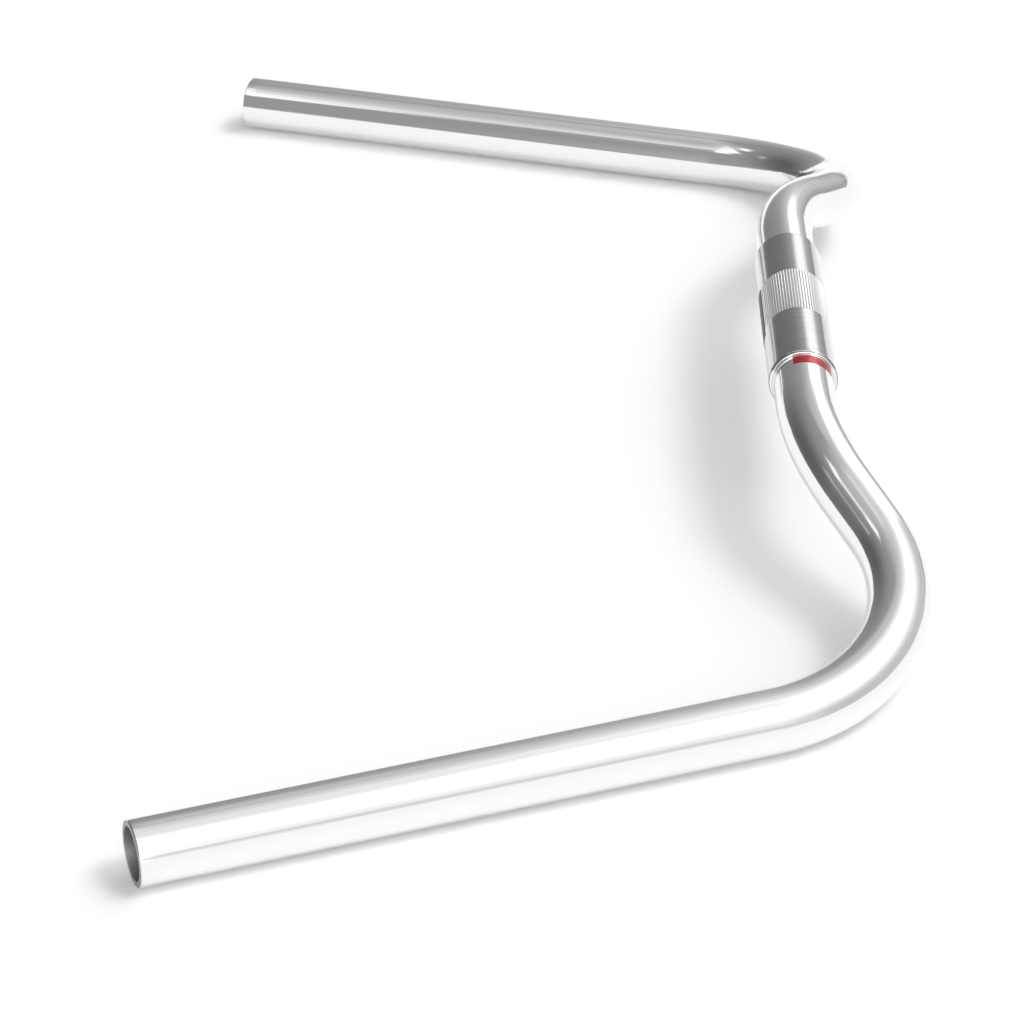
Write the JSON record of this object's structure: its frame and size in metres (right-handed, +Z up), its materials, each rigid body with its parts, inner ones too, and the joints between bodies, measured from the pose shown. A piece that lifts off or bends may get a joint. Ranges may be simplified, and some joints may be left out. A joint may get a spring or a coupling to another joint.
{
  "type": "swept-back bicycle handlebar",
  "caption": "Polished aluminium swept-back handlebar: a bent tube that drops and turns back on both sides, with a pressed-on ribbed clamp sleeve.",
  "frame": {"origin": "middle of the clamp sleeve, on its axis", "axes": "+X along the sleeve's axis towards the right grip, +Y forward, away from the grips' open ends, +Z up as the bar lies on a table"},
  "size_m": [0.6486, 0.2664, 0.0581],
  "materials": {
    "polished_tube": "mirror polished",
    "turned_sleeve": "finely turned, with a ribbed band and bright bevelled ends",
    "red_film": "thin glossy film, plain",
    "dark_film": "thin satin film, plain"
  },
  "bodies": {
    "root": {"bar_tube": "polished_tube", "center_sleeve": "turned_sleeve", "red_label": "red_film", "dark_label": "dark_film"}
  },
  "joints": []
}
